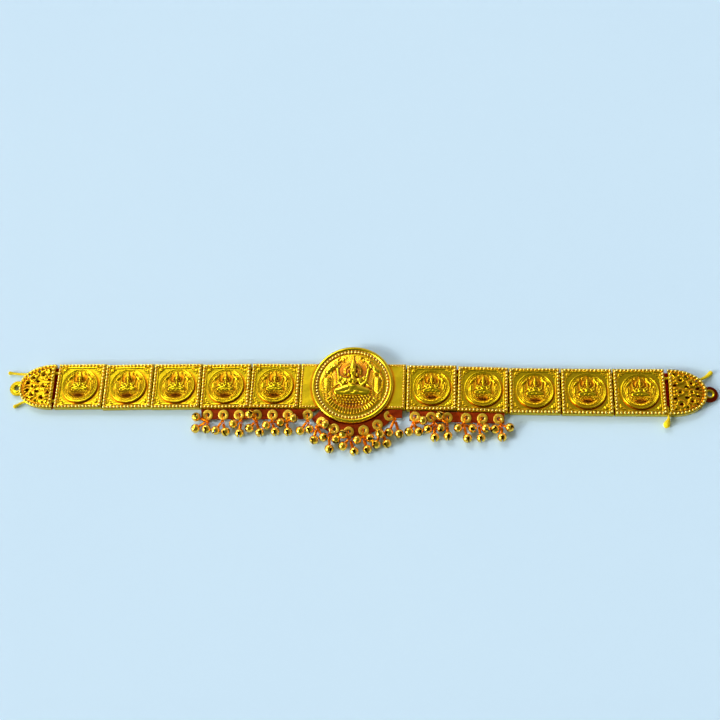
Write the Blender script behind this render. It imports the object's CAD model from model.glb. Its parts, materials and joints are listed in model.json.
import json
import math
import random
import bmesh
import bpy
import numpy as np
from mathutils import Matrix, Vector

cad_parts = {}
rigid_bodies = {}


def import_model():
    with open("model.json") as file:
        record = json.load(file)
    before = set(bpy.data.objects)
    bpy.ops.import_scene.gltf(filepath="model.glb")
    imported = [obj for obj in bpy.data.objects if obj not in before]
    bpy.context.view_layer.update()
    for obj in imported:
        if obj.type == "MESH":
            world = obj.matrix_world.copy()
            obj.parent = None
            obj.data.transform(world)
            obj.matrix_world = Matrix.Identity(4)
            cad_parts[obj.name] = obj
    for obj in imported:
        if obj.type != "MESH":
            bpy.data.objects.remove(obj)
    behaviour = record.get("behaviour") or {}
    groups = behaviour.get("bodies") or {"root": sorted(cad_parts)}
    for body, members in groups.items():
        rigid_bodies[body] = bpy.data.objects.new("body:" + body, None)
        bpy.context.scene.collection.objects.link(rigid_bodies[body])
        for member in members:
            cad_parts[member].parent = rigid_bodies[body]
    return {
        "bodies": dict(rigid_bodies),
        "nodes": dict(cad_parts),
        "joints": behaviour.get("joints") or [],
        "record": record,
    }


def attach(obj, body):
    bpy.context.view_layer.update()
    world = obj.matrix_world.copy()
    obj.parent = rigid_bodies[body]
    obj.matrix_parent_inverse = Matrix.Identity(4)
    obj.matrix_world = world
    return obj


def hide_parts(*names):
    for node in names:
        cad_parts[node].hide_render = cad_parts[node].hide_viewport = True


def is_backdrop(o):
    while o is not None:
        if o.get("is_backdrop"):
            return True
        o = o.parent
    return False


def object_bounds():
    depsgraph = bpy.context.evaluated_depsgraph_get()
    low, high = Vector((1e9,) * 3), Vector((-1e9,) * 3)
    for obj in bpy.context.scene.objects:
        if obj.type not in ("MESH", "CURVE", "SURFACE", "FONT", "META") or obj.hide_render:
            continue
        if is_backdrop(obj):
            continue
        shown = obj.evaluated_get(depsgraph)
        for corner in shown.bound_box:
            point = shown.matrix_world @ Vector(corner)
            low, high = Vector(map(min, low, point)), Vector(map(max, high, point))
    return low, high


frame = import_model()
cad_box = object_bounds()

MM = 0.001
scene = bpy.context.scene

# ---------------------------------------------------------------- photographer's camera
# The belt is photographed from above and a little from the fringe's side, turned a few degrees.
CAMERA_PLACE = (89.78, -379.14, 893.69)
CAMERA_AXES = ((0.9963023, 0.0394261, -0.0763374), (-0.0041422, 0.9095047, 0.4156730),
    (0.0858176, -0.4138197, 0.9063049))


def placed(name, data):
    """A new object in the scene, at the origin."""
    made = bpy.data.objects.new(name, data)
    scene.collection.objects.link(made)
    return made


camera_data = bpy.data.cameras.new("photo_camera")
camera_data.sensor_width, camera_data.lens, camera_data.clip_end = 36.0, 53.316, 20.0
camera = placed("photo_camera", camera_data)
camera_turn = Matrix(CAMERA_AXES).transposed().to_4x4()
camera.matrix_world = Matrix.Translation(Vector(CAMERA_PLACE) * MM) @ camera_turn
scene.camera = camera
scene.view_settings.view_transform = "Standard"


# ---------------------------------------------------------------- table and daylight
# A matt pale blue board under soft window light from the left; the room above the belt is dim,
# and that dim patch is what the polished bells mirror.
class Wire:
    """A shader socket that takes part in arithmetic."""
    def __init__(self, nodes, socket):
        self.nodes, self.socket = nodes, socket

    def _math(self, kind, a, b):
        return self.nodes.node("Math", {"operation": kind}, {0: a, 1: b})

    def __add__(self, other): return self._math("ADD", self, other)
    def __radd__(self, other): return self._math("ADD", other, self)
    def __sub__(self, other): return self._math("SUBTRACT", self, other)
    def __rsub__(self, other): return self._math("SUBTRACT", other, self)
    def __mul__(self, other): return self._math("MULTIPLY", self, other)
    def __rmul__(self, other): return self._math("MULTIPLY", other, self)


class Nodes:
    """A node tree that is written as expressions."""
    def __init__(self, tree):
        self.tree = tree
        tree.nodes.clear()

    def node(self, kind, settings=None, sockets=None, out=0):
        """Adds a shader node and gives one of its outputs."""
        made = self.tree.nodes.new("ShaderNode" + kind)
        for key, value in (settings or {}).items():
            setattr(made, key, value)
        for key, value in (sockets or {}).items():
            if isinstance(value, Wire):
                self.tree.links.new(value.socket, made.inputs[key])
            else:
                made.inputs[key].default_value = value
        return Wire(self, made.outputs[out]) if made.outputs else None

    def place(self):
        return self.node("TexCoord", out="Object")

    def noise(self, scale, detail, rough, vector):
        return self.node("TexNoise", {},
            {"Scale": scale, "Detail": detail, "Roughness": rough, "Vector": vector})

    def between(self, value, low, high, to_low=0.0, to_high=1.0):
        return self.node("MapRange", {"clamp": True}, {0: value, 1: low, 2: high, 3: to_low, 4: to_high})

    def mix(self, factor, a, b, blend="MIX"):
        return self.node("Mix", {"data_type": "RGBA", "blend_type": blend}, {0: factor, 6: a, 7: b}, 2)

    def bump(self, strength, depth, height):
        return self.node("Bump", {}, {"Strength": strength, "Distance": depth, "Height": height})

    def surface(self, sockets):
        self.node("OutputMaterial", {}, {0: self.node("BsdfPrincipled", {}, sockets)})


def new_material(name):
    """A material, and the tree that its nodes are written into."""
    made = bpy.data.materials.new(name)
    made.use_nodes = True
    return made, Nodes(made.node_tree)


def toward(*aim):
    """How closely a direction in the sky points this way."""
    return sky.node("VectorMath", {"operation": "DOT_PRODUCT"}, {0: way, 1: aim}, "Value")


world = bpy.data.worlds.new("daylight")
scene.world = world
world.use_nodes = True
sky = Nodes(world.node_tree)
way = sky.node("TexCoord", out="Generated")
right, up = (sky.node("SeparateXYZ", {}, {0: way}, axis) for axis in (0, 2))
clutter = sky.noise(3.2, 3.0, 0.6, way)
# The windows, brighter to the left, and the pale walls, warmer to the right
window = sky.between(toward(-0.80, -0.05, 0.60), 0.45, 0.95)
pale = sky.mix(sky.between(up, -0.1, 0.9), (0.76, 0.92, 1.38, 1), (0.84, 0.94, 1.28, 1))
warm = sky.mix(sky.between(right, -0.35, 0.25), pale, (0.98, 0.80, 0.98, 1))
bright = sky.mix(window, warm, (2.1, 2.1, 2.05, 1))
# The dim ceiling with its clutter, the dark patch that the metal mirrors, and two small bright panes
dim = sky.between(toward(0.11, -0.36, 0.926), 0.42, 0.66)
dark = sky.between(toward(0.30, -0.55, 0.78) + clutter * 0.6, 0.86, 1.22)
panes = sky.between(toward(-0.812, -0.366, 0.455), 0.958, 0.970) \
    + sky.between(toward(-0.35, 0.60, 0.72), 0.975, 0.986) * 0.7
ceiling = sky.mix(dim, bright, (0.48, 0.47, 0.45, 1))
patchy = sky.mix(sky.between(clutter, 0.40, 0.62), (0.35, 0.35, 0.35, 1), (1.15, 1.15, 1.15, 1))
room = sky.mix(dark, sky.mix(0.8, ceiling, patchy, "MULTIPLY"), (0.17, 0.20, 0.05, 1))
lit = sky.mix(panes, room, (12.0, 12.0, 11.5, 1))
sky.node("OutputWorld", {}, {0: sky.node("Background", {}, {0: lit, 1: 0.82})})

sun_data = bpy.data.lights.new("window_sun", "SUN")
sun_data.energy, sun_data.angle, sun_data.color = 0.7, math.radians(6), (1.0, 0.97, 0.90)
sun = placed("window_sun", sun_data)
sun.rotation_mode = "QUATERNION"
sun.rotation_quaternion = Vector((-10.0, -4.5, 5.6)).to_track_quat("Z", "Y")

BOARD = 6.0
board_mat, paint = new_material("pale_blue_board")
tint = paint.mix(paint.noise(3.0, 2.0, 0.5, paint.place()), (0.585, 0.785, 0.985, 1),
    (0.61, 0.81, 0.995, 1))
paint.surface({"Base Color": tint, "Roughness": 0.75})
board = bpy.data.meshes.new("table_board")
board.from_pydata([(-BOARD, -BOARD, 0), (BOARD, -BOARD, 0), (BOARD, BOARD, 0), (-BOARD, BOARD, 0)], [],
    [(0, 1, 2, 3)])
board.materials.append(board_mat)
table = placed("table_board", board)
table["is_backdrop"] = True


# ---------------------------------------------------------------- yellow stringing cords
# Two twisted yellow cords run through the channels behind the plates, from end piece to end piece.
# Their cut ends are melted to small blobs so that they neither fray nor slip back.
PLATE_W, PLATE_H, CENTRE_W = 45.0, 44.0, 96.0
GAP_LEFT, GAP_RIGHT, GAP_END = 0.7, 1.1, 2.9
FOOT_Z, TOP_Z, SHEET = 1.15, 6.35, 0.6
END_L, CORD_Y, CORD_R, TUNNEL_R = 33.0, 14.0, 1.25, 2.0
TUNNEL_Z = FOOT_Z + (TOP_Z - FOOT_Z - SHEET) / 2
TWIST_L, LOBE_DEPTH, CORD_SIDES, TIP_L = 7.0, 0.16, 15, 2.5
# Shift across as a share of the plate's height, and turn in degrees, left to right
LIE = ((-0.032, 1.0), (-0.032, 1.8), (-0.018, 1.0), (-0.014, 1.4), (0, -0.2),
    (-0.020, 0.1), (-0.048, -1.4), (-0.072, -0.2), (-0.080, -0.2), (-0.080, 0.2))
LIE_END = {-1: (-0.040, 2.0), 1: (-0.082, -1.2)}


def compass(degrees):
    """Cosine and sine of an angle in degrees."""
    return math.cos(math.radians(degrees)), math.sin(math.radians(degrees))


def turned(p, degrees):
    """A point turned about the origin."""
    c, s = compass(degrees)
    return np.array([p[0] * c - p[1] * s, p[0] * s + p[1] * c])


def plate_x(i):
    if i < 5:
        return -CENTRE_W / 2 - (5 - i) * (PLATE_W + GAP_LEFT) + PLATE_W / 2
    return CENTRE_W / 2 + (i - 4) * (PLATE_W + GAP_RIGHT) - PLATE_W / 2


def on_plate(i, p):
    return np.array([plate_x(i), LIE[i][0] * PLATE_H]) + turned(p, LIE[i][1])


def on_end(side, p):
    edge = plate_x(0) - PLATE_W / 2 - GAP_END if side < 0 else plate_x(9) + PLATE_W / 2 + GAP_END
    return np.array([edge, LIE_END[side][0] * PLATE_H]) + turned([side * p[0], p[1]], LIE_END[side][1])


def seams(y):
    """Points of a cord in each seam between two neighbours, with height and swelling."""
    plates = [tuple(on_plate(i, [s * PLATE_W / 2, y]) for s in (-1, 1)) for i in range(10)]
    middle = tuple(np.array([s * CENTRE_W / 2, y]) for s in (-1, 1))
    row = [(None, on_end(-1, [0, y])), *plates[:5], middle, *plates[5:]]
    return [(*((a[1] + b[0]) / 2), TUNNEL_Z, 1.0) for a, b in zip(row, row[1:])]


def smooth_path(points, step):
    """Even steps along a smooth curve through the points."""
    p = np.array(points, float)
    p = np.vstack([2 * p[0] - p[1], p, 2 * p[-1] - p[-2]])
    line = []
    for a, b, c, d in zip(p, p[1:], p[2:], p[3:]):
        n = max(2, int(np.linalg.norm((c - b)[:3]) / step))
        t = (np.arange(n) / n)[:, None]
        line.append(0.5 * (2 * b + (c - a) * t + (2 * a - 5 * b + 4 * c - d) * t ** 2
            + (3 * b - a - 3 * c + d) * t ** 3))
    return np.vstack([*line, p[-2:-1]])


def bands(rings, sides, closed, flip=False):
    """Faces between rings of vertices that follow each other, seen from outside or flipped."""
    faces = []
    for k in range(rings if closed else rings - 1):
        a, b = k * sides, (k + 1) % rings * sides
        for s in range(sides):
            t = (s + 1) % sides
            faces.append((a + s, b + s, b + t, a + t) if flip else (a + s, a + t, b + t, b + s))
    return faces


def swept(path, radius, sides, closed=False, lobes=0):
    """Vertices, faces and UVs of a tube along a path in mm; lobes make it a twisted cord."""
    n = len(path)
    ahead = np.roll(path, -1, 0) - np.roll(path, 1, 0)
    if not closed:
        ahead[0], ahead[-1] = path[1] - path[0], path[-1] - path[-2]
    ahead /= np.linalg.norm(ahead, axis=1)[:, None]
    along = np.concatenate([[0], np.cumsum(np.linalg.norm(np.diff(path, axis=0), axis=1))])
    angle = 2 * np.pi * np.arange(sides) / sides
    u = np.cross(ahead[0], (0.12, 0.31, 0.94))
    verts, uvs = [], []
    for k, d in enumerate(ahead):
        u = u - d * (u @ d)
        u = u / np.linalg.norm(u)
        r = np.full(sides, radius[k])
        if lobes:
            twist = angle - 2 * np.pi * along[k] / TWIST_L
            r = r * (1 - LOBE_DEPTH + LOBE_DEPTH * np.abs(np.cos(lobes / 2 * twist)))
        across, off = (r * np.cos(angle))[:, None], (r * np.sin(angle))[:, None]
        verts.append(path[k] + across * u + off * np.cross(d, u))
        uvs.append(np.column_stack([np.full(sides, along[k]), angle * CORD_R]))
    faces = bands(n, sides, closed)
    if not closed:
        faces += [tuple(range(sides - 1, -1, -1)), tuple(range((n - 1) * sides, n * sides))]
    return np.vstack(verts), faces, np.vstack(uvs)


def soften(made, degrees):
    """Smooth shading, but for edges sharper than this."""
    for face in made.data.polygons:
        face.use_smooth = True
    made.data.set_sharp_from_angle(angle=math.radians(degrees))


def piece(name, verts, faces, materials, smooth=40, uvs=None):
    """A mesh object with its place in its mesh, from vertices in mm."""
    mesh = bpy.data.meshes.new(name)
    mesh.from_pydata((np.asarray(verts, float) * MM).tolist(), [], faces)
    mesh.validate()
    if uvs is not None:
        layer = mesh.uv_layers.new(name="UVMap")
        corners = np.empty(len(mesh.loops), dtype=np.int32)
        mesh.loops.foreach_get("vertex_index", corners)
        layer.data.foreach_set("uv", (np.asarray(uvs) * MM)[corners].ravel())
    for m in materials:
        mesh.materials.append(m)
    made = placed(name, mesh)
    soften(made, smooth)
    return made


cord_mat, dye = new_material("yellow_twisted_cord")
ply = dye.node("UVMap", {"uv_map": "UVMap"})
hairs = dye.noise(1.6, 4.0, 0.6, dye.node("Mapping", {}, {0: ply, 3: (260.0, 1900.0, 1.0)}))
shade = dye.mix(dye.between(hairs, 0.3, 0.7), (0.80, 0.54, 0.003, 1), (0.97, 0.78, 0.012, 1))
dye.surface({"Base Color": shade, "Roughness": 0.7, "Normal": dye.bump(0.5, 0.0002, hairs),
    "Specular IOR Level": 0.25})

# Free ends in the end piece's frame, outwards from its mouth: along, across, height, swelling
UPPER_LEFT = ((22, 14, 3.4, 1), (27, 14, 3.0, 1), (34, 14.6, 2.2, 1), (41, 15.6, 1.9, 1),
    (44, 16, 2.0, 1.25), (46, 16.2, 2.1, 1.5), (47, 16.3, 2.1, 1.0))
LOWER_LEFT = ((22, -14, 3.4, 1), (27, -14, 2.9, 1), (31, -15.2, 2.2, 1),
    (34, -17, 2.0, 1.2), (36, -18.3, 2.2, 1.6), (37.2, -19, 2.2, 1.1))
UPPER_RIGHT = ((22, 14, 3.4, 1), (28, 14, 3.2, 1), (32, 15.8, 2.6, 1.05),
    (36, 19, 2.1, 1.4), (38.5, 21.5, 2.1, 1.65), (39.5, 22.4, 2.1, 1.3))
# The lower cord comes out of the right-hand seam: along from its middle, across, height, swelling
LOWER_RIGHT = ((-1.2, -14, 3.5, 0.95), (-0.4, -14.6, 3.5, 0.88), (-0.15, -16.2, 3.4, 0.85),
    (-0.19, -22, 3.0, 0.85), (-0.2, -25, 2.8, 1.2), (-1.6, -28, 3.2, 2.1), (-2.8, -31, 3.4, 2.5),
    (-3.6, -33.2, 3.2, 1.6))


def out_of_end(side, table):
    return [(*on_end(side, (x, y)), z, swell) for x, y, z, swell in table]


last_seam = (on_plate(9, [PLATE_W / 2, CORD_Y]) + on_end(1, [0, CORD_Y])) / 2
seam_x = (on_end(1, (0, 0))[0] + plate_x(9) + PLATE_W / 2) / 2
seam_y = LIE_END[1][0] * PLATE_H
CORDS = {
    "cord_upper": out_of_end(-1, UPPER_LEFT)[::-1] + seams(CORD_Y) + [(*last_seam, TUNNEL_Z, 1)]
        + out_of_end(1, UPPER_RIGHT),
    "cord_lower": out_of_end(-1, LOWER_LEFT)[::-1] + seams(-CORD_Y)
        + [(*on_plate(9, [PLATE_W / 2 - 4, -CORD_Y]), TUNNEL_Z, 1)]
        + [(seam_x + x, seam_y + y, z, swell) for x, y, z, swell in LOWER_RIGHT]}
for name, route in CORDS.items():
    line = smooth_path(route, 1.0)
    from_tip = np.minimum(np.arange(len(line)), np.arange(len(line))[::-1])
    rounding = np.sqrt(np.clip(1 - (1 - np.clip(from_tip / TIP_L, 0, 1)) ** 2, 0.05, 1))
    verts, faces, uvs = swept(line[:, :3], CORD_R * line[:, 3] * rounding, CORD_SIDES, lobes=3)
    cord = piece(name + "_yarn", verts, faces, [cord_mat], 60, uvs)
    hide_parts(name)
    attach(cord, "root")


# ---------------------------------------------------------------- felt backing
# One band of dark red felt, cut to the belt's outline, glued behind all the plates.
# It shows in the seams and through the pierced ends.
FELT_T, FELT_IN, ACROSS, BLUNT = 1.0, 1.6, 8, 2.2
FRAY, NAP, WORN_RIM = 0.12, 0.04, 0.2
FELT_EDGE = PLATE_H / 2 - FELT_IN


def oval(length, half, t):
    """A point of an end piece's blunt half oval, at t degrees."""
    c, s = compass(t)
    return length * max(c, 0) ** (2 / BLUNT), half * abs(s) ** (2 / BLUNT) * (1 if s >= 0 else -1)


def felt_end(side, t):
    """Two points of the felt's edge that face each other behind an end piece."""
    return tuple(on_end(side, oval(END_L - FELT_IN, FELT_EDGE, s * t)) for s in (1, -1))


def grid(w, n):
    """Faces of a sheet of n rows of w vertices, and the vertices round its rim."""
    faces = [(j * w + i, j * w + i + 1, (j + 1) * w + i + 1, (j + 1) * w + i)
        for j in range(n - 1) for i in range(w - 1)]
    rim = [*range(w - 1)] + [j * w + w - 1 for j in range(n - 1)]
    rim += [(n - 1) * w + i for i in range(w - 1, 0, -1)] + [j * w for j in range(n - 1, 0, -1)]
    return faces, rim


stations = [felt_end(-1, t) for t in range(2, 91, 4)]
stations += [tuple(on_plate(i, [side * PLATE_W / 2, s * FELT_EDGE]) for s in (1, -1))
    for i in range(10) for side in (-1, 1)]
stations += [felt_end(1, t) for t in range(90, 1, -4)]
fine = []
for (a, b), (c, d) in zip(stations, stations[1:]):
    steps = max(1, int(np.linalg.norm(c - a) / 5))
    fine += [(a + (c - a) * k / steps, b + (d - b) * k / steps) for k in range(steps)]
fine.append(stations[-1])
fuzz = random.Random(11)
felt_verts = []
for high in (False, True):
    for k, (a, b) in enumerate(fine):
        for j in range(ACROSS + 1):
            rim = j in (0, ACROSS) or k in (0, len(fine) - 1)
            pull = FRAY * fuzz.random() if rim else 0
            x, y = a + (b - a) * j / ACROSS + np.array([0, pull if j > ACROSS / 2 else -pull])
            top = FELT_T - (WORN_RIM if rim else NAP * fuzz.random()) if high else 0.0
            felt_verts.append((x, y, top))
sheet_faces, rim = grid(ACROSS + 1, len(fine))
lift = len(felt_verts) // 2
felt_faces = [f[::-1] for f in sheet_faces] + [tuple(v + lift for v in f) for f in sheet_faces]
felt_faces += [(a, b, b + lift, a + lift) for a, b in zip(rim, rim[1:] + rim[:1])]

felt_mat, nap = new_material("dark_red_felt")
fibres, clumps = nap.noise(2600.0, 5.0, 0.7, nap.place()), nap.noise(220.0, 3.0, 0.5, nap.place())
shade = nap.mix(nap.between(fibres * 0.6 + clumps * 0.4, 0.3, 0.7), (0.22, 0.004, 0.001, 1),
    (0.52, 0.020, 0.003, 1))
nap.surface({"Base Color": shade, "Roughness": 0.95, "Normal": nap.bump(0.7, 0.0003, fibres),
    "Specular IOR Level": 0.1})
felt = piece("felt_band", felt_verts, felt_faces, [felt_mat], 50)
scratch = bmesh.new()
scratch.from_mesh(felt.data)
bmesh.ops.remove_doubles(scratch, verts=scratch.verts, dist=1e-6)
bmesh.ops.recalc_face_normals(scratch, faces=scratch.faces)
scratch.to_mesh(felt.data)
scratch.free()
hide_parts("backing")
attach(felt, "root")


# ---------------------------------------------------------------- square plates
# Ten plates stamped alike from thin brass, gilt and polished: a bead border, a fine milled line,
# corner scrolls, and a round medallion with a seated, crowned, four-armed figure on a lotus.
SOOT = (0.075, 0.022, 0.0015, 1)


def gilt(name, tint, deep_tint, rough, rough_deep, scratch_depth, varnish=0.0):
    """Gilt brass. 'deep' is a vertex value of 1 in the hollows, where the gilding is warm and dull."""
    made, leaf = new_material(name)
    place = leaf.place()
    deep = leaf.node("Attribute", {"attribute_name": "deep"}, out="Fac")
    cloud, grain = leaf.noise(90.0, 4.0, 0.6, place), leaf.noise(1500.0, 3.0, 0.6, place)
    worn_tint = tuple(c * f for c, f in zip(tint, (0.93, 0.86, 0.75, 1)))
    lit = leaf.mix(leaf.between(cloud, 0.35, 0.7), tint, worn_tint)
    sunk = deep + (grain - 0.5) * 0.4 * leaf.between(deep, 0.02, 0.2)
    warm = leaf.mix(leaf.between(sunk, 0.03, 0.50), lit, deep_tint)
    dull = leaf.between(deep, 0.0, 1.0, rough, rough_deep)
    dents = leaf.noise(260.0, 2.0, 0.5, place)
    leaf.surface({"Base Color": leaf.mix(leaf.between(sunk, 0.50, 1.0), warm, SOOT), "Metallic": 1.0,
        "Roughness": dull + (cloud - 0.5) * 0.12 + (grain - 0.5) * 0.06,
        "Normal": leaf.bump(1.0, scratch_depth, grain * 0.12 + dents * 0.6),
        "Coat Weight": varnish, "Coat Roughness": 0.06})
    return made


GOLD = (0.75, 0.545, 0.012, 1)
AMBER = (0.66, 0.20, 0.004, 1)
plate_gilt = gilt("gilt_stamped", GOLD, AMBER, 0.24, 0.40, 0.00012)
rubbed_gilt = gilt("gilt_rubbed", (1.0, 0.82, 0.16, 1), AMBER, 0.20, 0.30, 0.00006, 0.6)


def share(values):
    """Values kept between 0 and 1."""
    return np.clip(values, 0, 1)


def pressed(x, y, strokes):
    """Relief of strokes, each x, y, x, y, radius, radius, lift of its edge, dome above that."""
    high = np.zeros_like(x)
    for x0, y0, x1, y1, r0, r1, lift, dome in strokes:
        dx, dy = x1 - x0, y1 - y0
        long = dx * dx + dy * dy
        t = share(((x - x0) * dx + (y - y0) * dy) / long) if long > 1e-9 else np.zeros_like(x)
        d = np.hypot(x - x0 - t * dx, y - y0 - t * dy) / (r0 + (r1 - r0) * t)
        high = np.maximum(high, lift * share((1 - d) * 5) + dome * np.sqrt(share(1 - d * d)))
    return high


def chain(points, lift, dome):
    """Strokes from each (x, y, radius) to the next."""
    return [(ax, ay, bx, by, ar, br, lift, dome) for (ax, ay, ar), (bx, by, br) in zip(points, points[1:])]


def arc(x, y, r, start, end, n, w, lift, dome, squash=1.0):
    """Strokes of radius w along an arc of a circle or ellipse."""
    return chain([(x + r * c, y + squash * r * s, w)
        for c, s in map(compass, np.linspace(start, end, n + 1))], lift, dome)


def both(strokes):
    return strokes + [(-a, b, -c, d, *rest) for a, b, c, d, *rest in strokes]


# The seated figure, in shares of the field's radius; its face is a plain, calm oval
FIGURE = both([
    (0.13, -0.13, 0.46, -0.235, 0.135, 0.105, 0.04, 0.12),  # thigh
    (0.45, -0.285, 0.02, -0.325, 0.078, 0.062, 0.07, 0.08),  # shin
    (0.1, -0.271, 0.17, -0.274, 0.056, 0.039, 0.13, 0.05),  # foot
    (0.16, 0.1, 0.2, 0.12, 0.095, 0.084, 0.05, 0.08),  # shoulder
    (0.2, 0.1, 0.3, -0.04, 0.065, 0.054, 0.08, 0.06),  # lower arm, above the elbow
    (0.3, -0.04, 0.4, 0.051, 0.054, 0.04, 0.1, 0.05),  # lower arm, below the elbow
    (0.41, 0.072, 0.42, 0.12, 0.056, 0.045, 0.12, 0.04),  # open hand
    (0.2, 0.14, 0.42, 0.2, 0.058, 0.049, 0.05, 0.05),  # upper arm, above the elbow
    (0.42, 0.2, 0.46, 0.4, 0.049, 0.038, 0.05, 0.05),  # upper arm, below the elbow
    (0.46, 0.43, 0.47, 0.481, 0.052, 0.045, 0.06, 0.04),  # hand with the stem
    (0.475, 0.52, 0.48, 0.65, 0.018, 0.018, 0.05, 0.02),  # stem
    (0.48, 0.702, 0.48, 0.78, 0.05, 0.022, 0.07, 0.05),  # bud, middle petal
    (0.44, 0.676, 0.4, 0.754, 0.038, 0.013, 0.05, 0.03),  # bud, inner petal
    (0.52, 0.676, 0.56, 0.741, 0.038, 0.013, 0.05, 0.03),  # bud, outer petal
    (0.065, 0.069, 0.065, 0.069, 0.081, 0.081, 0.15, 0.09),  # breast
    (0.125, 0.31, 0.125, 0.27, 0.038, 0.045, 0.1, 0.05),  # earring
    (0.34, 0.135, 0.35, 0.245, 0.02, 0.02, 0.1, 0.03),  # upper armlet
    (0.215, 0.044, 0.285, 0.062, 0.02, 0.02, 0.14, 0.03),  # lower armlet
    (0.22, -0.334, 0.4, -0.39, 0.039, 0.022, 0.06, 0.03),  # sash end
    (0.032, 0.385, 0.055, 0.387, 0.012, 0.01, 0.235, 0.012),  # closed eye
    (0.03, 0.41, 0.062, 0.408, 0.008, 0.006, 0.235, 0.008),  # brow
    *chain(((0.22, 0.13, 0.040), (0.38, 0.04, 0.032), (0.50, -0.06, 0.028), (0.60, -0.13, 0.016)),
        0.04, 0.04),  # scarf
]) + [
    (0, -0.18, 0, -0.138, 0.168, 0.146, 0.06, 0.1),  # hips
    (0, -0.124, 0, 0.072, 0.106, 0.162, 0.07, 0.12),  # waist and chest
    (0, 0.16, 0, 0.24, 0.056, 0.058, 0.1, 0.06),  # neck
    (0, 0.345, 0, 0.385, 0.092, 0.105, 0.12, 0.11),  # head
    (0, 0.395, 0, 0.355, 0.01, 0.016, 0.235, 0.022),  # nose
    (-0.018, 0.322, 0.018, 0.322, 0.01, 0.01, 0.225, 0.012),  # lips
    (-0.105, 0.45, 0.105, 0.45, 0.024, 0.024, 0.2, 0.03),  # crown band
    (0, 0.494, 0, 0.598, 0.112, 0.092, 0.12, 0.1),  # crown, first tier
    (-0.07, 0.617, 0.07, 0.617, 0.016, 0.016, 0.18, 0.03),  # ring between tiers
    (0, 0.65, 0, 0.741, 0.081, 0.056, 0.11, 0.09),  # crown, second tier
    (-0.042, 0.761, 0.042, 0.761, 0.014, 0.014, 0.15, 0.03),  # ring between tiers
    (0, 0.78, 0, 0.871, 0.045, 0.022, 0.09, 0.06),  # crown, third tier
    (0, 0.91, 0, 0.91, 0.028, 0.028, 0.08, 0.04),  # finial
    (0, 0.52, 0, 0.559, 0.026, 0.02, 0.235, 0.03),  # crown jewel
    (-0.12, -0.107, 0.12, -0.107, 0.022, 0.022, 0.17, 0.03),  # belt
]
FIGURE += arc(0, 0.21, 0.115, 205, 335, 8, 0.014, 0.235, 0.02)  # short necklace
FIGURE += arc(0, 0.21, 0.20, 225, 315, 8, 0.013, 0.25, 0.02, 1.25)  # long necklace
HALO = arc(0, 0.40, 0.23, -20, 200, 22, 0.020, 0.04, 0.03)
HALO += [(0.245 * c, 0.40 + 0.245 * s, 0.30 * c, 0.40 + 0.30 * s, 0.022, 0.006, 0.03, 0.03)
    for c, s in map(compass, np.linspace(-20, 200, 19))]
# Rows of petals: height, half the row's width, petals, rise towards its ends, size of a petal
LOTUS = []
for row, (y, half, petals, rise, size) in enumerate(((-0.43, 0.50, 11, 0.050, 0.040),
        (-0.515, 0.55, 12, 0.085, 0.041), (-0.60, 0.52, 11, 0.110, 0.042), (-0.69, 0.42, 9, 0.110, 0.038))):
    for t in 2 * np.arange(petals + 1) / petals - 1:
        x, root = t * half, y + rise * t * t
        LOTUS.append((x, root, x * 1.02, root - 0.012, size, size * 0.7, 0.07 - 0.012 * row, 0.075))
LOTUS += [(0.80 * c, 0.80 * s, 0.90 * c, 0.90 * s, 0.034, 0.028, 0.02, 0.06)
    for c, s in map(compass, np.linspace(-146, -34, 21))]
# On each side of the figure a ribbed fan, and above it an elephant with its trunk raised
FAN = chain(((0.62, -0.44, 0.018), (0.61, 0.18, 0.018), (0.68, 0.31, 0.020), (0.80, 0.32, 0.020),
    (0.90, 0.16, 0.018), (0.88, -0.12, 0.018), (0.74, -0.34, 0.020)), 0.03, 0.03)
FAN += [(0.74, -0.34, 0.72, -0.56, 0.024, 0.020, 0.03, 0.03),
    (0.84, -0.22, 0.83, -0.46, 0.018, 0.014, 0.02, 0.03),
    (0.76, 0.22, 0.76, -0.18, 0.022, 0.018, 0.03, 0.04)]
FAN += [(0.755, y, 0.66, y + 0.10, 0.018, 0.014, 0.03, 0.03) for y in np.linspace(-0.26, 0.14, 7)]
FAN += [(0.765, y, 0.86, y + 0.08, 0.018, 0.014, 0.03, 0.03) for y in np.linspace(-0.20, 0.14, 6)]
ELEPHANT = [
    (0.74, 0.44, 0.66, 0.50, 0.095, 0.088, 0.05, 0.09), (0.58, 0.56, 0.55, 0.59, 0.070, 0.062, 0.07, 0.08),
    (0.50, 0.62, 0.44, 0.72, 0.034, 0.026, 0.06, 0.05), (0.44, 0.72, 0.36, 0.78, 0.026, 0.020, 0.06, 0.05),
    (0.31, 0.80, 0.30, 0.76, 0.046, 0.036, 0.05, 0.06), (0.64, 0.54, 0.66, 0.50, 0.040, 0.030, 0.14, 0.03),
    (0.80, 0.38, 0.81, 0.34, 0.034, 0.030, 0.03, 0.04), (0.66, 0.40, 0.65, 0.36, 0.032, 0.028, 0.03, 0.04),
    (0.53, 0.52, 0.49, 0.50, 0.014, 0.008, 0.08, 0.02), (0.42, 0.56, 0.36, 0.64, 0.030, 0.012, 0.03, 0.04),
    (0.22, 0.86, 0.28, 0.90, 0.030, 0.014, 0.03, 0.03), (0.42, 0.86, 0.50, 0.80, 0.028, 0.014, 0.03, 0.03)]
SCENE = FIGURE + HALO + LOTUS + both(FAN) + both(ELEPHANT)


def smoothed(z, times):
    for _ in range(times):
        p = np.pad(z, 1, mode="edge")
        z = (p[1:-1, 1:-1] * 4 + p[:-2, 1:-1] + p[2:, 1:-1] + p[1:-1, :-2] + p[1:-1, 2:]) / 8
    return z


def crevices(high, spread, least, gain):
    """How far each point lies in a hollow of the relief."""
    return share((smoothed(high, spread) - high - least) * gain)


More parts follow.
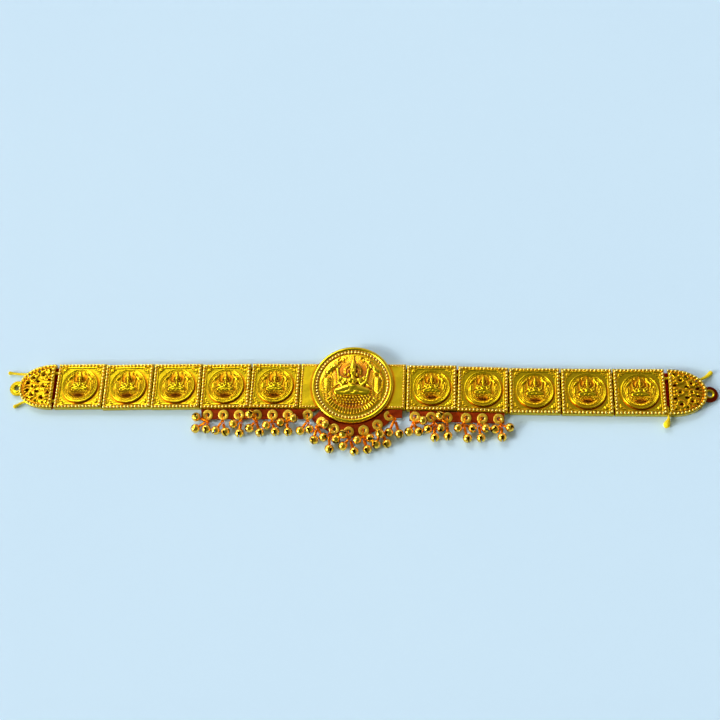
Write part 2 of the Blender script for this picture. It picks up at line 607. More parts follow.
def closed_below(x, y, z, levels):
    """A sheet of grid points whose rim goes down through loops of (inset, height) and is closed there."""
    faces, rim = grid(x.shape[1], x.shape[0])
    verts = [tuple(v) for v in np.column_stack([x.ravel(), y.ravel(), z.ravel()])]
    edge, loop = np.array([verts[k][:2] for k in rim]), rim
    for inset, height in levels:
        fresh = list(range(len(verts), len(verts) + len(rim)))
        verts += [(px, py, height) for px, py in inset(edge)]
        faces += [(a, d, c, b)
            for a, b, c, d in zip(loop, loop[1:] + loop[:1], fresh[1:] + fresh[:1], fresh)]
        loop = fresh
    return verts, faces + [tuple(loop[::-1])]


def shrunk(by):
    """Moves points of a convex outline towards the middle by about this much on each axis."""
    return lambda p: p * (1 - by / np.abs(p).max(0))


def deepen(made, values):
    """Stores the 'deep' value of every vertex."""
    store = made.data.attributes.new("deep", "FLOAT", "POINT")
    full = np.zeros(len(made.data.vertices))
    full[:len(values)] = values
    store.data.foreach_set("value", full)


def gathered(groups):
    """Joins (vertices, faces) groups into one."""
    verts, faces = [], []
    for v, f in groups:
        faces += [tuple(k + len(verts) for k in face) for face in f]
        verts += [tuple(p) for p in v]
    return verts, faces


def evaluated(made):
    """The mesh that an object's modifiers leave."""
    return bpy.data.meshes.new_from_object(made.evaluated_get(bpy.context.evaluated_depsgraph_get()))


def cut(made, tools):
    """Cuts the tools, (vertices, faces) in mm, out of a closed piece."""
    verts, faces = gathered(tools)
    mesh = bpy.data.meshes.new("cutter")
    mesh.from_pydata((np.array(verts) * MM).tolist(), [], faces)
    cutter = placed("cutter", mesh)
    change = made.modifiers.new("cut", "BOOLEAN")
    change.operation, change.solver, change.object = "DIFFERENCE", "EXACT", cutter
    done = evaluated(made)
    made.modifiers.clear()
    old, made.data = made.data, done
    done.name = made.name
    bpy.data.meshes.remove(old)
    bpy.data.objects.remove(cutter)
    soften(made, 40)


def drum(a, b, r, sides=24):
    """A cylinder between two points, for cutting."""
    return swept(np.array([a, b], float), [r, r], sides)[:2]


def prism(outline, low, high):
    """A cutter: what stands over a counter-clockwise outline between two heights."""
    n = len(outline)
    faces = [tuple(range(n))[::-1], tuple(range(n, 2 * n))]
    faces += [(k, (k + 1) % n, n + (k + 1) % n, n + k) for k in range(n)]
    return [(*p, z) for z in (low, high) for p in outline], faces


def channels(x0, x1):
    """Cutters for the holes that both cords run through."""
    return [drum((x0, s * CORD_Y, TUNNEL_Z), (x1, s * CORD_Y, TUNNEL_Z), TUNNEL_R) for s in (-1, 1)]


def bead_string():
    """Geometry nodes: balls at even steps along an edge path, each a little uneven."""
    tree = bpy.data.node_groups.new("bead_string", "GeometryNodeTree")
    for label, kind in (("Path", "Geometry"), ("Count", "Int"), ("Bead radius", "Float"),
            ("Unevenness", "Float"), ("Sides", "Int"), ("Rings", "Int"), ("Metal", "Material")):
        tree.interface.new_socket(label, in_out="INPUT", socket_type="NodeSocket" + kind)
    tree.interface.new_socket("Beads", in_out="OUTPUT", socket_type="NodeSocketGeometry")
    given, result, curve, even, ball, spread, real, metal, chance, low, high = map(tree.nodes.new, (
        "NodeGroupInput", "NodeGroupOutput", "GeometryNodeMeshToCurve", "GeometryNodeResampleCurve",
        "GeometryNodeMeshUVSphere", "GeometryNodeInstanceOnPoints", "GeometryNodeRealizeInstances",
        "GeometryNodeSetMaterial", "FunctionNodeRandomValue", "ShaderNodeMath", "ShaderNodeMath"))
    low.operation, high.operation = "SUBTRACT", "ADD"
    low.inputs[0].default_value = high.inputs[0].default_value = 1.0
    chance.data_type, even.mode = "FLOAT", "COUNT"
    chance.inputs["Seed"].default_value = 7
    for source, out, target, into in (
            (given, "Unevenness", low, 1), (given, "Unevenness", high, 1), (low, 0, chance, 2),
            (high, 0, chance, 3), (given, "Path", curve, 0), (curve, 0, even, 0),
            (given, "Count", even, "Count"), (given, "Bead radius", ball, "Radius"),
            (given, "Sides", ball, "Segments"), (given, "Rings", ball, "Rings"),
            (even, 0, spread, "Points"), (ball, 0, spread, "Instance"), (chance, 1, spread, "Scale"),
            (spread, 0, real, 0), (real, 0, metal, "Geometry"), (given, "Metal", metal, "Material"),
            (metal, 0, result, 0)):
        tree.links.new(source.outputs[out], target.inputs[into])
    return tree


bead_nodes = bead_string()


def beads(path, closed, count, radius, metal, sides=8, uneven=0.04):
    """Vertices and faces, in mm, of a string of beads along a path."""
    mesh = bpy.data.meshes.new("bead_path")
    n = len(path)
    edges = [(k, (k + 1) % n) for k in range(n if closed else n - 1)]
    mesh.from_pydata((np.asarray(path, float) * MM).tolist(), edges, [])
    made = placed("bead_path", mesh)
    string = made.modifiers.new("beads", "NODES")
    string.node_group = bead_nodes
    given = {"Count": count, "Bead radius": radius * MM, "Unevenness": uneven, "Sides": sides,
        "Rings": max(4, sides - 2), "Metal": metal}
    for socket in bead_nodes.interface.items_tree:
        if socket.in_out == "INPUT" and socket.name in given:
            string[socket.identifier] = given[socket.name]
    done = evaluated(made)
    verts, faces = np.array([v.co for v in done.vertices]) / MM, [tuple(f.vertices) for f in done.polygons]
    bpy.data.objects.remove(made)
    bpy.data.meshes.remove(done)
    return verts, faces


def rectangle(w, h, *z):
    """The corners of a rectangle about the middle, counter-clockwise."""
    return [(sx * w / 2, sy * h / 2, *z) for sx, sy in ((-1, -1), (1, -1), (1, 1), (-1, 1))]


def bead_border(width, pitch, radius, z, metal):
    """The beads round a plate, and how many there are."""
    w, h = width - 2 * BEAD_IN, PLATE_H - 2 * BEAD_IN
    count = 2 * (round(w / pitch) + round(h / pitch))
    return beads(rectangle(w, h, z), True, count, radius, metal), count


def hoop(z, r, wire, steps=80, sides=8):
    """A ring of wire about the middle."""
    a = 2 * np.pi * np.arange(steps) / steps
    line = np.column_stack([r * np.cos(a), r * np.sin(a), np.full(steps, z)])
    return swept(line, np.full(steps, wire), sides, closed=True)[:2]


def sheet_lines(width, step):
    """Grid lines across a tray, close together where its edge is rolled."""
    roll = [0, 0.05, 0.16, 0.34, 0.6]
    inner = np.linspace(-width / 2 + roll[-1], width / 2 - roll[-1], int((width - 2 * roll[-1]) / step))
    return np.concatenate([np.array(roll[:-1]) - width / 2, inner, width / 2 - np.array(roll[-2::-1])])


def rolled_edge(edge):
    """How far a sheet has dropped at this distance from its rolled edge."""
    return SHEET - np.sqrt(np.clip(SHEET ** 2 - np.clip(SHEET - edge, 0, SHEET) ** 2, 0, None))


def stamped_tray(name, width, step, relief, metal):
    """An open-backed tray with a stamped top and holes for both cords, about its own middle."""
    x, y = np.meshgrid(sheet_lines(width, step), sheet_lines(PLATE_H, step))
    edge = np.minimum(width / 2 - np.abs(x), PLATE_H / 2 - np.abs(y))
    high, deep = relief(x, y)
    z = TOP_Z - rolled_edge(edge) + smoothed(high, 1) * (edge > 0.5)
    made = piece(name, *closed_below(x, y, z, [(shrunk(0.0), FOOT_Z), (shrunk(SHEET), FOOT_Z),
        (shrunk(SHEET), TOP_Z - 1.4)]), [metal])
    deepen(made, deep.ravel())
    cut(made, channels(-width, width))
    return made


DISC_R, FIELD_R = 16.9, 14.4
BEAD_R, BEAD_IN, BEAD_PITCH = 1.1, 1.6, 3.3
LINE_IN, MILLED_IN = 3.6, 2.95
# In shares of a disc's radius: the stamp's depth, and height and fineness of the ground's grain
STAMPED, GRAIN, GRAIN_TURNS = 0.82, 0.006, 95


def scroll(x, y, sx, sy, size):
    """A corner scroll: a spiral with a leaf on each side."""
    turns, radii = (0, 130, 260, 400), (1.0, 0.85, 0.55, 0.25)
    t = np.interp(np.arange(16), (0, 5, 10, 15), turns)
    spiral = [(x + sx * r * c, y + sy * r * s, 0.5)
        for (c, s), r in zip(map(compass, t), size * np.interp(t, turns, radii))]
    leaf = (0.7, 0.15, 0.25, 0.5)
    return chain(spiral, 0.3, 0.35) + [
        (x + sx * size * a, y + sy * size * b, x + sx * size * c, y + sy * size * d, *leaf)
        for a, b, c, d in ((1, -0.3, 0.7, -2.1), (-0.3, 1, -2.1, 0.7))]


def plate_relief(x, y):
    """A milled line and scrolls on a sunk ground, warmer round the disc and below the beads."""
    frame_w, frame_h = PLATE_W / 2 - LINE_IN, PLATE_H / 2 - LINE_IN
    line = (0.42, 0.42, 0.25, 0.25)
    strokes = [(-frame_w, s * frame_h, frame_w, s * frame_h, *line) for s in (-1, 1)]
    strokes += [(s * frame_w, -frame_h, s * frame_w, frame_h, *line) for s in (-1, 1)]
    strokes += [t for sx in (-1, 1) for sy in (-1, 1)
        for t in scroll(sx * (frame_w - 2.7), sy * (frame_h - 2.7), sx, sy, 1.45)]
    rim = np.maximum(np.abs(x) - frame_w, np.abs(y) - frame_h)
    high = pressed(x, y, strokes) - 0.35 * (rim < 0)
    r = np.hypot(x, y)
    shade_side = share(0.45 + 0.55 * (0.55 * x - 0.83 * y) / np.maximum(r, 1))
    near_disc = share(1.25 - np.abs(r - DISC_R - 0.3) / 1.3) * shade_side
    under_beads = share(1.3 - np.abs(rim - 1.9) / 0.9)
    return high, share(0.95 * near_disc + 0.62 * under_beads + 0.5 * crevices(high, 5, 0.03, 3))


def figure_disc(name, n, radius, base, dome, scale, metal, foot, soot=1.0):
    """The stamped field with the figure, on a square grid warped to a disc, closed below at the foot."""
    u, v = np.meshgrid(np.linspace(-1, 1, n + 1), np.linspace(-1, 1, n + 1))
    u, v = u * np.sqrt(1 - v * v / 2), v * np.sqrt(1 - u * u / 2)
    r = np.hypot(u, v)
    high = smoothed(pressed(u, v, SCENE) * STAMPED, 1)
    grain = GRAIN * np.sin(u * GRAIN_TURNS) * np.sin(v * GRAIN_TURNS) * (high < 0.01) * (r < 0.93)
    z = base + radius * (dome * (1 - r * r) + scale * (high + grain)) * share((1 - r) * 30)
    flank = share(1.3 - 1.3 * np.hypot(np.abs(u) - 0.28, (v - 0.36) * 0.8) / 0.36)
    under = share(1.5 - 1.5 * np.hypot(u * 0.42, v + 0.70) / 0.19) * share(1.5 - high * 9)
    ground = share(1 - high * 22) * (0.22 + 0.46 * flank)
    deep = ground + crevices(high, round(n / 12), 0.006, 34) + soot * under
    made = piece(name, *closed_below(u * radius, v * radius, z, [(shrunk(0.0), foot)]), [metal], 60)
    deepen(made, (share(deep) * (r < 0.97)).ravel())
    return made


def in_metal(made, slot):
    """Gives all of a piece's faces this material slot."""
    for face in made.data.polygons:
        face.material_index = slot
    return made


def absorb(main, others):
    """Joins the other objects' meshes into the main one."""
    scratch = bmesh.new()
    for o in (main, *others):
        scratch.from_mesh(o.data)
    scratch.to_mesh(main.data)
    scratch.free()
    for o in others:
        bpy.data.objects.remove(o)
    return main


def copied(master, name, place, degrees, side=1):
    """A piece with the master's mesh, moved and turned within its mesh; side -1 mirrors it."""
    mesh = master.data.copy()
    mesh.transform(Matrix.Translation((place[0] * MM, place[1] * MM, 0))
        @ Matrix.Rotation(math.radians(degrees), 4, "Z") @ Matrix.Diagonal((side, 1, 1, 1)))
    if side < 0:
        mesh.flip_normals()
    return placed(name, mesh)


tray = stamped_tray("plate_master", PLATE_W, 0.5, plate_relief, plate_gilt)
field = figure_disc("disc_master", 96, FIELD_R, TOP_Z + 0.75, 0.02, 0.8, plate_gilt, TOP_Z - 0.5)
border, _ = bead_border(PLATE_W, BEAD_PITCH, BEAD_R * 1.14, TOP_Z + BEAD_R * 0.55, rubbed_gilt)
milled_w, milled_h = PLATE_W - 2 * MILLED_IN, PLATE_H - 2 * MILLED_IN
milled = beads(rectangle(milled_w, milled_h, TOP_Z + 0.1), True, int(2 * (milled_w + milled_h) / 0.95),
    0.36, plate_gilt, 5, 0.0)
hoops = [hoop(TOP_Z + z, r, wire) for z, r, wire in (
    (0.75, DISC_R - 0.8, 0.8), (0.85, FIELD_R, 0.45), (0.35, DISC_R - 1.5, 0.75))]
trim = piece("trim_master", *gathered([milled, *hoops]), [plate_gilt], 60)
absorb(tray, [field, trim, in_metal(piece("border_master", *border, [plate_gilt], 60), 1)])
tray.data.materials.append(rubbed_gilt)
for i in range(10):
    plate = copied(tray, f"square_plate_{i + 1}", on_plate(i, (0, 0)), LIE[i][1])
    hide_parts(f"plate_{i + 1}")
    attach(plate, "root")
bpy.data.objects.remove(tray)


# ---------------------------------------------------------------- centre plate
# A plain rectangle of the same sheet behind the large medallion, with a border of fine beads.
FINE_R, FINE_PITCH, MED_R, MED_SHIFT = 0.8, 2.5, 37.5, 0.9
plain_gilt = gilt("gilt_plain", GOLD, AMBER, 0.30, 0.45, 0.00022)


def plain_relief(x, y):
    """Faint waves from handling, warmer round the medallion and below the beads."""
    waves = 0.05 * np.sin(x * 0.31 + 1.2) * np.sin(y * 0.23) + 0.03 * np.sin(x * 0.11 - y * 0.37)
    near = share(1 - np.abs(np.hypot(x, y - MED_SHIFT) - MED_R) / 2.2)
    rim = np.minimum(CENTRE_W / 2 - np.abs(x), PLATE_H / 2 - np.abs(y))
    return waves, share(0.7 * near + 0.6 * share(1.2 - np.abs(rim - BEAD_IN) / 0.8))


centre = stamped_tray("centre_plate_sheet", CENTRE_W, 0.9, plain_relief, plain_gilt)
border, count = bead_border(CENTRE_W, FINE_PITCH, FINE_R, TOP_Z + FINE_R * 0.6, plain_gilt)
fine_verts, fine_faces = border
# The beads that the medallion would cover are left out
per_bead = len(fine_verts) // count
middles = fine_verts.reshape(-1, per_bead, 3).mean(1)
clear = np.hypot(middles[:, 0], middles[:, 1] - MED_SHIFT) > MED_R + FINE_R + 0.3
renumber = np.repeat(np.cumsum(clear) - 1, per_bead) * per_bead + np.tile(np.arange(per_bead), len(clear))
fine_beads = piece("fine_beads", fine_verts[np.repeat(clear, per_bead)],
    [tuple(int(renumber[k]) for k in f) for f in fine_faces if clear[f[0] // per_bead]], [plain_gilt], 60)
centre.data.materials.append(rubbed_gilt)
absorb(centre, [in_metal(fine_beads, 1)])
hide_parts("centre_plate")
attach(centre, "root")


# ---------------------------------------------------------------- centre medallion
# A large disc stamped with the same seated figure between two fans and two elephants.
# A fat smooth roll of tube frames it, with a ring of beads inside; its skirt reaches past the plate.
ROLL_R, MED_T, RING_BEADS, RING_BEAD_R = 2.1, 9.6, 66, 1.25
BED_Z = TOP_Z + 0.15 + SHEET
ROLL_X, ROLL_Z = MED_R - ROLL_R, MED_T - ROLL_R
MED_FIELD = ROLL_X - ROLL_R - 2 * RING_BEAD_R - 0.4
bright_gilt = gilt("gilt_bright", (0.82, 0.61, 0.012, 1), AMBER, 0.19, 0.38, 0.00010, 0.25)


def lathe(profile, steps, shift=(0, 0)):
    """A closed ring turned from a closed profile of (radius, height)."""
    verts = [(shift[0] + r * c, shift[1] + r * s, z)
        for c, s in map(compass, 360 * np.arange(steps) / steps) for r, z in profile]
    return verts, bands(steps, len(profile), True, flip=True)


rolled = [(ROLL_X + ROLL_R * c, ROLL_Z + ROLL_R * s) for c, s in map(compass, np.linspace(-40, 190, 22))]
skirt_z = 0.5
rim_profile = [(MED_R - 0.55, skirt_z), (MED_R - 0.05, skirt_z), (MED_R, 1.2), (MED_R - 0.12, 4.2),
    (MED_R - 0.35, ROLL_Z - ROLL_R * 0.95), *rolled, (MED_FIELD + 1.5, BED_Z + 0.15),
    (MED_FIELD - 0.2, BED_Z), (MED_FIELD - 0.2, BED_Z - SHEET), (MED_R - 1.1, BED_Z - SHEET)]
rim = piece("medallion_rim", *lathe(rim_profile, 168, (0, MED_SHIFT)), [bright_gilt], 35)
# The skirt is cut away where the centre plate runs through it
cut(rim, [prism(rectangle(2.4 * MED_R, PLATE_H + 0.6), -1.0, BED_Z - SHEET)])
ring_r = ROLL_X - ROLL_R - RING_BEAD_R * 0.75
spot = np.array([v.co for v in rim.data.vertices]) / MM
from_ring = np.abs(np.hypot(spot[:, 0], spot[:, 1] - MED_SHIFT) - ring_r)
deepen(rim, share(1.6 - from_ring / 1.2) * 0.6)
field = figure_disc("medallion_field", 184, MED_FIELD, BED_Z + 0.25, 0.055, 0.62, bright_gilt,
    BED_Z - SHEET, 0.25)
field.data.transform(Matrix.Translation((0, MED_SHIFT * MM, 0)))
around = [(ring_r * c, MED_SHIFT + ring_r * s, BED_Z + RING_BEAD_R * 0.95)
    for c, s in map(compass, np.arange(0, 360, 3))]
ring_beads = beads(around, True, RING_BEADS, RING_BEAD_R, rubbed_gilt, 16, 0.03)
ring_beads = in_metal(piece("medallion_beads", *ring_beads, [bright_gilt], 60), 1)
medallion = absorb(rim, [field, ring_beads])
medallion.data.materials.append(rubbed_gilt)
medallion.name = "large_medallion"
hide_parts("centre_medallion")
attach(medallion, "root")


# ---------------------------------------------------------------- pierced end pieces
# Each end is a half oval pierced between scrolls, so that the felt shows through, with the same
# beads round it. A round eyelet tab under its tip takes the tie or hook that closes the belt.
SCROLLS = ((0.30, 0.27, 0.095), (0.60, 0.19, 0.080), (0.30, 0.0, 0.075), (0.60, 0.0, 0.060))
HOLES_BETWEEN = ((0.46, 0.325, 0.034), (0.45, 0.115, 0.040), (0.76, 0.085, 0.040), (0.16, 0.14, 0.038),
    (0.15, 0.38, 0.028), (0.73, 0.26, 0.026))
TAB_R, TAB_T, EYE_R, EYE_X = 7.4, 2.2, 2.6, END_L + 2.6


def inset_loop(by):
    """Moves the points of a closed counter-clockwise outline inwards by this much."""
    def inset(p):
        t = np.roll(p, -1, 0) - np.roll(p, 1, 0)
        t /= np.linalg.norm(t, axis=1)[:, None]
        return p + by * np.column_stack([-t[:, 1], t[:, 0]])
    return inset


def even_steps(line, n):
    """n + 1 points at even steps along a line."""
    line = np.asarray(line, float)
    s = np.concatenate([[0], np.cumsum(np.linalg.norm(np.diff(line, axis=0), axis=1))])
    at = np.linspace(0, s[-1], n + 1)
    return np.column_stack([np.interp(at, s, line[:, c]) for c in range(line.shape[1])])


def teardrop(x, y, r, turn):
    """A cutter with the outline of a drop, its point turned by this many degrees."""
    a, way = np.radians(np.arange(0, 360, 20)), math.radians(turn)
    out = r * (1 + 0.75 * share(np.cos(a)) ** 3)
    return prism([(x + q * math.cos(t + way), y + q * 0.85 * math.sin(t + way)) for q, t in zip(out, a)],
        TOP_Z - 1.35, 9.0)


# Leaves of a scroll, in shares of its radius: from, to, half width at the root
LEAVES = ((0.9, 0.5, 1.9, 0.2, 0.26), (-0.9, 0.5, -1.6, 1.2, 0.26), (-0.3, -1, -1.4, -1.4, 0.22))


def mirrored(y):
    """Signs for a shape and its mirror image across the middle line, one if it lies on the line."""
    return (1,) if y == 0 else (-1, 1)


def end_relief(x, y):
    """Scrolls with leaves, a row of petals inside the beads and a line along the mouth."""
    strokes = []
    for cx, cy, cr in SCROLLS:
        for s in mirrored(cy):
            px, py, r = cx * END_L, s * cy * PLATE_H, cr * PLATE_H
            strokes += arc(px, py, r * 0.80, 0, 360, 18, r * 0.24, 0.30, 0.55)
            strokes += [(px + x0 * r, py + s * y0 * r, px + x1 * r, py + s * y1 * r, r * w, r * 0.08,
                0.3, 0.4) for x0, y0, x1, y1, w in LEAVES]
    for t in range(-72, 73, 9):
        root, tip = oval(END_L - 5.0, PLATE_H / 2 - 5.0, t), oval(END_L - 8.2, PLATE_H / 2 - 8.0, t + 3)
        strokes.append((*root, *tip, 1.15, 0.4, 0.25, 0.6))
    strokes += [(5.0, py, 7.4, py + 0.9, 1.1, 0.35, 0.25, 0.55) for py in np.arange(-16, 16.1, 3.2)]
    strokes += [(0.08 * END_L, -0.36 * PLATE_H, 0.08 * END_L, 0.36 * PLATE_H, 0.55, 0.55, 0.25, 0.3)]
    strokes += chain([(*oval(END_L - LINE_IN, PLATE_H / 2 - LINE_IN, t), 0.45)
        for t in np.linspace(-86, 86, 40)], 0.2, 0.3)
    high = pressed(x, y, strokes)
    inside = np.hypot(x / (END_L - 3.2), y / (PLATE_H / 2 - 3.2)) < 1
    border = share(1.3 - np.abs(np.hypot(x / END_L, y / (PLATE_H / 2)) - 0.90) / 0.04)
    deep = share(0.8 * crevices(high, 6, 0.02, 2.2) + 0.10 * inside + 0.4 * border)
    return high - 0.25 * inside * (x > 3.2), deep


def end_master():
    """The end piece with its mouth at x = 0 and its tip at END_L: tray, piercings, beads and tab."""
    top = math.pow(1 - (1.2 / END_L) ** BLUNT, 1 / BLUNT)
    v = np.sin(np.linspace(-1, 1, 105) * math.asin(top))
    roll = np.array([0, 0.003, 0.009, 0.018])
    u, v = np.meshgrid(np.concatenate([roll, np.linspace(0.03, 0.97, 70), 1 - roll[::-1]]), v)
    x, y = u * END_L * (1 - np.abs(v) ** BLUNT) ** (1 / BLUNT), v * PLATE_H / 2
    line = even_steps([oval(END_L, PLATE_H / 2, t) for t in np.linspace(-90, 90, 361)], 240)
    edge = np.min(np.hypot(x[..., None] - line[:, 0], y[..., None] - line[:, 1]), axis=-1)
    edge = np.minimum(edge, x)
    high, deep = end_relief(x, y)
    z = TOP_Z - rolled_edge(edge) + smoothed(high, 1) * (edge > 0.7)

    def hollow(p):
        q = inset_loop(SHEET)(p)
        half = PLATE_H / 2 - SHEET
        return np.column_stack([np.clip(q[:, 0], SHEET, None), np.clip(q[:, 1], -half, half)])
    made = piece("end_master", *closed_below(x, y, z, [(shrunk(0.0), FOOT_Z), (hollow, FOOT_Z),
        (hollow, TOP_Z - 1.0)]), [plate_gilt])
    deepen(made, deep.ravel())
    cut(made, channels(-1, END_L + 1))
    tools = []
    for hx, hy, hr in SCROLLS + HOLES_BETWEEN:
        r = hr * PLATE_H * (0.42 if hr > 0.05 else 1)
        tools += [teardrop(hx * END_L, s * hy * PLATE_H, r * 0.82, s * (hx * 700 + hy * 400))
            for s in mirrored(hy)]
    cut(made, tools)
    rim_line = [oval(END_L - BEAD_IN, PLATE_H / 2 - BEAD_IN, t) for t in np.linspace(-90, 90, 97)]
    rim_line = even_steps(rim_line, 240)
    steps = np.linalg.norm(np.diff(rim_line, axis=0), axis=1).sum() / BEAD_PITCH
    high_z = TOP_Z + BEAD_R * 0.55
    mouth = PLATE_H / 2 - BEAD_IN - BEAD_PITCH
    rows = (([(*p, high_z) for p in rim_line], round(steps) + 1),
        ([(BEAD_IN, s * mouth, high_z) for s in (-1, 1)], round(PLATE_H / BEAD_PITCH) - 2))
    beaded = gathered([beads(path, False, count, BEAD_R, plate_gilt) for path, count in rows])
    extra = piece("end_trim", *beaded, [plate_gilt], 45)
    # The tab's section, as distances from the eyelet's middle and heights above the foot
    tab = [(EYE_R, 0.3), (EYE_R + 0.3, 0), (TAB_R - 0.3, 0), (TAB_R, 0.3), (TAB_R, TAB_T - 0.5),
        (TAB_R - 0.5, TAB_T), (EYE_R + 2.0, TAB_T), (EYE_R + 1.5, TAB_T + 0.5), (EYE_R + 0.7, TAB_T + 0.6),
        (EYE_R, TAB_T + 0.1)]
    tab = [(r, FOOT_Z + up) for r, up in tab]
    tab_piece = piece("end_tab", *lathe(tab, 56, (EYE_X, 0)), [plate_gilt], 45)
    for face in tab_piece.data.polygons:
        out = math.hypot(face.center[0] / MM - EYE_X, face.center[1] / MM)
        face.material_index = 2 if out > EYE_R + 1.6 else 0
    made.data.materials.append(rubbed_gilt)
    return absorb(made, [in_metal(extra, 1), tab_piece])


# The right-hand tab has lost its gilding down to a dark red-brown; the left one is still bright
dark_tab = gilt("worn_tab", (0.20, 0.018, 0.002, 1), (0.08, 0.005, 0.001, 1), 0.30, 0.45, 0.00015)
end = end_master()
for side, label in ((-1, "left"), (1, "right")):
    made = copied(end, f"pierced_end_{label}", on_end(side, (0, 0)), LIE_END[side][1], side)
    made.data.materials.append(plate_gilt if side < 0 else dark_tab)
    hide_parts(f"end_{label}")
    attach(made, "root")
bpy.data.objects.remove(end)


# ---------------------------------------------------------------- fringe strips
# Three folded brass strips, lacquered dark red-brown, stand on the felt below the plates and lean
# out. A flat gilt washer is soldered round each hole, and the bells' jump rings go through it.
STRIP_T, FOLD_Z, WALL = 0.5, 5.2, 0.3
LEAN, ROUND_LEAN, HOLE_RUN, ROUND_RUN = 22.0, 18.0, 4.75, 6.2
WASHER_R, HOLE_R = 4.7, 1.7
LEFT_LINE = (on_plate(3, [-PLATE_W / 2, -PLATE_H / 2]), np.array([-CENTRE_W * 0.33, -PLATE_H / 2]))
RIGHT_LINE = (on_plate(5, [-PLATE_W / 2, -PLATE_H / 2]), on_plate(6, [PLATE_W / 2, -PLATE_H / 2]))
EDGE_LINE = (np.array([0, -PLATE_H / 2]), np.array([CENTRE_W / 2, -PLATE_H / 2]))


def along(line):
    return (line[1] - line[0]) / np.linalg.norm(line[1] - line[0])


def outwards(line):
    a = along(line)
    return np.array([a[1], -a[0]])


def run_out(run, lean):
    return WALL + STRIP_T + run * compass(lean)[0]


def line_hole(line, p):
    """A hole's x, y, height, way out in degrees and lean, beside a point of the wall."""
    x = (p - line[0]) @ along(line)
    q = line[0] + along(line) * x + outwards(line) * run_out(HOLE_RUN, LEAN)
    z = FOLD_Z - HOLE_RUN * compass(LEAN)[1]
    return (*q, z, math.degrees(math.atan2(*along(line)[::-1])) - 90, LEAN), x


# Places of the holes along a plate, as shares of its width from its middle
THREE = (-0.335, -0.015, 0.305)
left_holes = [line_hole(LEFT_LINE, on_plate(i, [h * PLATE_W, -PLATE_H / 2]))
    for i in (3, 4) for h in THREE]
left_holes.append(line_hole(LEFT_LINE, np.array([-CENTRE_W * 0.412, -PLATE_H / 2])))
right_holes = [line_hole(RIGHT_LINE, on_plate(i, [(h + 0.015) * PLATE_W, -PLATE_H / 2]))
    for i in (5, 6) for h in THREE]
round_r = MED_R + run_out(ROUND_RUN, ROUND_LEAN)
round_z = FOLD_Z - ROUND_RUN * compass(ROUND_LEAN)[1]
round_holes = [(round_r * compass(a)[0], MED_SHIFT + round_r * compass(a)[1], round_z, a, ROUND_LEAN)
    for a in (-127.5 + 17.5 * k for k in range(6))]
HOLES = [h for h, x in left_holes] + round_holes + [h for h, x in right_holes]


def section(run, lean):
    """Outline of a strip across its length, (way out, height)."""
    c, s = compass(lean)
    reach, foot = run + WASHER_R * 0.83, WALL + STRIP_T
    under = [(foot + reach * c * t, FOLD_Z - 2 * STRIP_T + (2 * STRIP_T - reach * s - STRIP_T / c) * t)
        for t in (0, 0.33, 0.67, 1)]
    over = [(foot + (reach * c + STRIP_T * s) * t, FOLD_Z + 0.05 - (reach * s + 0.05) * t)
        for t in (1, 0.67, 0.33, 0.1, 0)]
    return [(WALL, FOOT_Z - 0.15), (foot, FOOT_Z - 0.15)] + under + over + [(WALL, FOLD_Z - 0.15)]


def strip(stations, shape):
    """Vertices and faces of a section carried along (origin, way out) stations."""
    n, rows = len(shape), len(stations)
    verts = [(*(o + np.array(w) * r), z) for o, w in stations for r, z in shape]
    ends = [tuple(range(n)), tuple(range(rows * n - 1, (rows - 1) * n - 1, -1))]
    return verts, bands(rows, n, False, flip=True) + ends


def straight(line, x0, x1, run=HOLE_RUN):
    steps = np.linspace(x0, x1, max(2, int((x1 - x0) / 3)))
    return strip([(line[0] + along(line) * x, outwards(line)) for x in steps], section(run, LEAN))


bow = strip([(np.array([MED_R * c, MED_SHIFT + MED_R * s]), (c, s))
    for c, s in map(compass, np.linspace(-139, -38, 60))], section(ROUND_RUN, ROUND_LEAN))
left_end = np.linalg.norm(LEFT_LINE[1] - LEFT_LINE[0])
FRINGES = {
    "left": (range(0, 7), [straight(LEFT_LINE, left_holes[0][1] - WASHER_R - 1.4, left_end)]),
    "centre": (range(7, 13), [bow, straight(EDGE_LINE, MED_R * 0.86, CENTRE_W * 0.475, HOLE_RUN - 1.75)]),
    "right": (range(13, 19), [straight(RIGHT_LINE, right_holes[0][1] - WASHER_R - 0.3,
        right_holes[5][1] + WASHER_R + 0.4)])}

lacquer, film = new_material("red_brown_lacquer")
patches, specks = film.noise(180.0, 4.0, 0.6, film.place()), film.noise(1200.0, 3.0, 0.6, film.place())
shade = film.mix(film.between(patches, 0.3, 0.7), (0.16, 0.012, 0.001, 1), (0.34, 0.038, 0.002, 1))
film.surface({"Base Color": shade, "Roughness": film.between(specks, 0.2, 0.8, 0.40, 0.6),
    "Normal": film.bump(0.6, 0.0002, patches + specks * 0.2), "Specular IOR Level": 0.06})
washer_gilt = gilt("gilt_washers", (1.0, 0.70, 0.07, 1), AMBER, 0.50, 0.55, 0.00015, 0.4)


def frame_at(origin, x, y, z):
    """A local frame in mm: its origin and its axes, as columns."""
    return np.array(origin, float), np.column_stack([x, y, z])


def carried(group, frame):
    """Vertices and faces moved from a local frame to the belt's."""
    origin, axes = frame
    return np.asarray(group[0], float) @ axes.T + origin, group[1]


def hole_frame(hole):
    """Local frame of a hole: out along the strip, along the belt, and up off the lacquer."""
    x, y, z, way, lean = hole
    o, up, (c, s) = np.array([*compass(way), 0]), np.array([0, 0, 1.0]), compass(lean)
    return frame_at((x, y, z), o * c - up * s, np.cross(up, o), o * s + up * c)


# A washer's section, (radius, height over the lacquer)
WASHER = ((1.95, -0.1), (4.6, -0.1), (4.7, 0.15), (4.62, 0.45), (4.3, 0.58), (3.3, 0.60), (2.5, 0.56),
    (1.9, 0.40), (1.7, 0.15), (1.75, -0.02))
